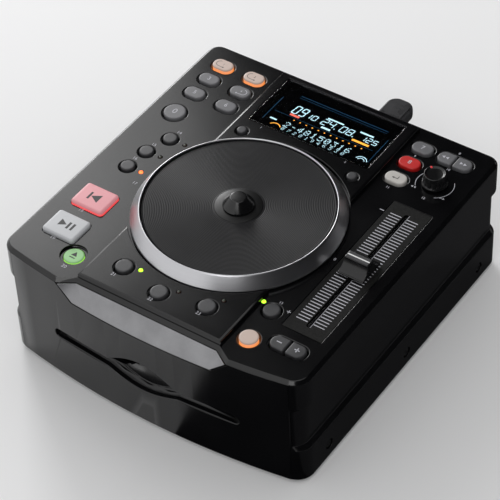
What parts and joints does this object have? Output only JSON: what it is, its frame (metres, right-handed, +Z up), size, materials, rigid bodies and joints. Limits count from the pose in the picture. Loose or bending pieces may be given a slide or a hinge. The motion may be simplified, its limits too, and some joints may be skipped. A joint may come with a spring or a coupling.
{
  "type": "tabletop disc player",
  "caption": "Compact slot-in disc player for DJs: bowed front with a disc slot, large turning jog platter, sliding pitch fader, display, push buttons and rear sockets",
  "frame": {"origin": "middle of the bounding box, on the plane that the feet stand on", "axes": "+X to the user's right, +Y from the front with the slot to the rear with the sockets, +Z up"},
  "size_m": [0.22, 0.273, 0.1046],
  "materials": {
    "case_black": "satin near-black moulding",
    "bezel_black": "satin charcoal moulding",
    "satin_plate": "satin anodised",
    "zinc_steel": "zinc plated sheet and turned steel",
    "panel_black": "black powder coat",
    "foot_rubber": "matt black",
    "tinted_acrylic": "dark tinted, polished",
    "display_glass": "dark display tube",
    "fader_plate_grain": "fine grained charcoal paint",
    "board_green": "circuit board",
    "black_plastic": "black moulding",
    "platter_aluminium": "turned, satin",
    "platter_face": "fine grooved black",
    "cone_black": "satin black",
    "fader_cap_black": "satin black",
    "knob_black": "satin black",
    "stick_grey": "grey with a black insert",
    "roller_rubber": "matt black",
    "grey_cap": "mid grey moulding",
    "dark_cap": "near-black moulding",
    "pale_cap": "translucent, light grey",
    "pink_cap": "translucent, lit red at its edges",
    "amber_cap": "translucent, lit amber",
    "green_cap": "translucent, lit green",
    "red_cap": "red moulding",
    "white_cap": "off-white moulding"
  },
  "bodies": {
    "case": {"upper_housing": "case_black", "front_bezel": "bezel_black", "name_plate": "satin_plate", "bottom_plate": "zinc_steel", "rear_panel": "panel_black", "foot_front_left": "foot_rubber", "foot_rear_left": "foot_rubber", "foot_front_right": "foot_rubber", "foot_rear_right": "foot_rubber", "display_window": "tinted_acrylic", "display_module": "display_glass", "fader_plate": "fader_plate_grain", "fader_body": "zinc_steel", "key_board": "board_green", "main_board": "board_green", "loader_frame": "zinc_steel", "loader_cover": "zinc_steel", "rear_sockets": "black_plastic", "mains_inlet": "black_plastic"},
    "platter": {"platter_ring": "platter_aluminium", "platter_disc": "platter_face", "platter_cone": "cone_black", "platter_shaft": "zinc_steel"},
    "fader": {"fader_carriage": "black_plastic", "fader_cap": "fader_cap_black"},
    "encoder": {"encoder_rotor": "zinc_steel"},
    "knob": {"encoder_shaft": "zinc_steel", "parameter_knob": "knob_black"},
    "play": {"play_button": "pale_cap"},
    "cue": {"cue_button": "pink_cap"},
    "eject": {"eject_button": "green_cap"},
    "jog_mode": {"jog_mode_button": "amber_cap"},
    "bend_minus": {"bend_minus_button": "grey_cap"},
    "bend_plus": {"bend_plus_button": "grey_cap"},
    "search_back": {"search_back_button": "grey_cap"},
    "search_forward": {"search_forward_button": "grey_cap"},
    "tap": {"tap_button": "grey_cap"},
    "key": {"key_button": "grey_cap"},
    "echo": {"echo_button": "grey_cap"},
    "brake": {"brake_button": "dark_cap"},
    "hot_start_one": {"hot_start_one_button": "amber_cap"},
    "hot_start_two": {"hot_start_two_button": "amber_cap"},
    "flip": {"flip_button": "grey_cap"},
    "loop": {"loop_button": "grey_cap"},
    "next_track": {"next_track_button": "grey_cap"},
    "exit": {"exit_button": "grey_cap"},
    "memo": {"memo_button": "grey_cap"},
    "source": {"source_button": "red_cap"},
    "back": {"back_button": "white_cap"},
    "flanger": {"flanger_button": "grey_cap"},
    "filter": {"filter_button": "grey_cap"},
    "dump": {"dump_button": "dark_cap"},
    "reverse": {"reverse_button": "dark_cap"},
    "time": {"time_button": "grey_cap"},
    "sync": {"sync_button": "grey_cap"},
    "power": {"power_button": "black_plastic"},
    "stick": {"memory_stick": "stick_grey"},
    "sled": {"pickup_sled": "black_plastic"},
    "spindle": {"spindle_turntable": "black_plastic"},
    "roller": {"feed_roller": "roller_rubber"}
  },
  "joints": [
    {"name": "platter_spin", "type": "hinge", "parent": "case", "child": "platter", "pos_m": [0, -0.02935, 0.089], "axis": [0, 0, 1], "continuous": true},
    {"name": "fader_slide", "type": "slide", "parent": "case", "child": "fader", "axis": [0, 1, 0], "range_m": [-0.05, 0.05]},
    {"name": "knob_turn", "type": "hinge", "parent": "case", "child": "encoder", "pos_m": [0.08622, 0.05867, 0.0882], "axis": [0, 0, 1], "continuous": true},
    {"name": "knob_press", "type": "slide", "parent": "encoder", "child": "knob", "axis": [0, 0, -1], "range_m": [0, 0.0007], "stiffness_N_per_m": 400, "springref_m": -0.0005},
    {"name": "play_press", "type": "slide", "parent": "case", "child": "play", "axis": [0, 0, -1], "range_m": [0, 0.0007], "stiffness_N_per_m": 400, "springref_m": -0.0005},
    {"name": "cue_press", "type": "slide", "parent": "case", "child": "cue", "axis": [0, 0, -1], "range_m": [0, 0.0007], "stiffness_N_per_m": 400, "springref_m": -0.0005},
    {"name": "eject_press", "type": "slide", "parent": "case", "child": "eject", "axis": [0, 0, -1], "range_m": [0, 0.0007], "stiffness_N_per_m": 400, "springref_m": -0.0005},
    {"name": "jog_mode_press", "type": "slide", "parent": "case", "child": "jog_mode", "axis": [0, 0, -1], "range_m": [0, 0.0007], "stiffness_N_per_m": 400, "springref_m": -0.0005},
    {"name": "bend_minus_press", "type": "slide", "parent": "case", "child": "bend_minus", "axis": [0, 0, -1], "range_m": [0, 0.0007], "stiffness_N_per_m": 400, "springref_m": -0.0005},
    {"name": "bend_plus_press", "type": "slide", "parent": "case", "child": "bend_plus", "axis": [0, 0, -1], "range_m": [0, 0.0007], "stiffness_N_per_m": 400, "springref_m": -0.0005},
    {"name": "search_back_press", "type": "slide", "parent": "case", "child": "search_back", "axis": [0, 0, -1], "range_m": [0, 0.0007], "stiffness_N_per_m": 400, "springref_m": -0.0005},
    {"name": "search_forward_press", "type": "slide", "parent": "case", "child": "search_forward", "axis": [0, 0, -1], "range_m": [0, 0.0007], "stiffness_N_per_m": 400, "springref_m": -0.0005},
    {"name": "tap_press", "type": "slide", "parent": "case", "child": "tap", "axis": [0, 0, -1], "range_m": [0, 0.0007], "stiffness_N_per_m": 400, "springref_m": -0.0005},
    {"name": "key_press", "type": "slide", "parent": "case", "child": "key", "axis": [0, 0, -1], "range_m": [0, 0.0007], "stiffness_N_per_m": 400, "springref_m": -0.0005},
    {"name": "echo_press", "type": "slide", "parent": "case", "child": "echo", "axis": [0, 0, -1], "range_m": [0, 0.0007], "stiffness_N_per_m": 400, "springref_m": -0.0005},
    {"name": "brake_press", "type": "slide", "parent": "case", "child": "brake", "axis": [0, 0, -1], "range_m": [0, 0.0007], "stiffness_N_per_m": 400, "springref_m": -0.0005},
    {"name": "power_press", "type": "slide", "parent": "case", "child": "power", "axis": [0, -1, 0], "range_m": [0, 0.0025], "stiffness_N_per_m": 300, "springref_m": -0.0015},
    {"name": "stick_pull", "type": "slide", "parent": "case", "child": "stick", "axis": [0, 1, 0], "range_m": [0, 0.0119]},
    {"name": "sled_travel", "type": "slide", "parent": "case", "child": "sled", "axis": [0, 1, 0], "range_m": [0, 0.033]},
    {"name": "spindle_spin", "type": "hinge", "parent": "case", "child": "spindle", "pos_m": [0, -0.06455, 0.0225], "axis": [0, 0, 1], "continuous": true},
    {"name": "roller_turn", "type": "hinge", "parent": "case", "child": "roller", "pos_m": [0, -0.11295, 0.0327], "axis": [1, 0, 0], "continuous": true},
    {"name": "hot_start_one_press", "type": "slide", "parent": "case", "child": "hot_start_one", "axis": [0, 0, -1], "range_m": [0, 0.0007], "stiffness_N_per_m": 400, "springref_m": -0.0005},
    {"name": "hot_start_two_press", "type": "slide", "parent": "case", "child": "hot_start_two", "axis": [0, 0, -1], "range_m": [0, 0.0007], "stiffness_N_per_m": 400, "springref_m": -0.0005},
    {"name": "flip_press", "type": "slide", "parent": "case", "child": "flip", "axis": [0, 0, -1], "range_m": [0, 0.0007], "stiffness_N_per_m": 400, "springref_m": -0.0005},
    {"name": "loop_press", "type": "slide", "parent": "case", "child": "loop", "axis": [0, 0, -1], "range_m": [0, 0.0007], "stiffness_N_per_m": 400, "springref_m": -0.0005},
    {"name": "next_track_press", "type": "slide", "parent": "case", "child": "next_track", "axis": [0, 0, -1], "range_m": [0, 0.0007], "stiffness_N_per_m": 400, "springref_m": -0.0005},
    {"name": "exit_press", "type": "slide", "parent": "case", "child": "exit", "axis": [0, 0, -1], "range_m": [0, 0.0007], "stiffness_N_per_m": 400, "springref_m": -0.0005},
    {"name": "memo_press", "type": "slide", "parent": "case", "child": "memo", "axis": [0, 0, -1], "range_m": [0, 0.0007], "stiffness_N_per_m": 400, "springref_m": -0.0005},
    {"name": "source_press", "type": "slide", "parent": "case", "child": "source", "axis": [0, 0, -1], "range_m": [0, 0.0007], "stiffness_N_per_m": 400, "springref_m": -0.0005},
    {"name": "back_press", "type": "slide", "parent": "case", "child": "back", "axis": [0, 0, -1], "range_m": [0, 0.0007], "stiffness_N_per_m": 400, "springref_m": -0.0005},
    {"name": "flanger_press", "type": "slide", "parent": "case", "child": "flanger", "axis": [0, 0, -1], "range_m": [0, 0.0007], "stiffness_N_per_m": 400, "springref_m": -0.0005},
    {"name": "filter_press", "type": "slide", "parent": "case", "child": "filter", "axis": [0, 0, -1], "range_m": [0, 0.0007], "stiffness_N_per_m": 400, "springref_m": -0.0005},
    {"name": "dump_press", "type": "slide", "parent": "case", "child": "dump", "axis": [0, 0, -1], "range_m": [0, 0.0007], "stiffness_N_per_m": 400, "springref_m": -0.0005},
    {"name": "reverse_press", "type": "slide", "parent": "case", "child": "reverse", "axis": [0, 0, -1], "range_m": [0, 0.0007], "stiffness_N_per_m": 400, "springref_m": -0.0005},
    {"name": "time_press", "type": "slide", "parent": "case", "child": "time", "axis": [0, 0, -1], "range_m": [0, 0.0007], "stiffness_N_per_m": 400, "springref_m": -0.0005},
    {"name": "sync_press", "type": "slide", "parent": "case", "child": "sync", "axis": [0, 0, -1], "range_m": [0, 0.0007], "stiffness_N_per_m": 400, "springref_m": -0.0005}
  ]
}
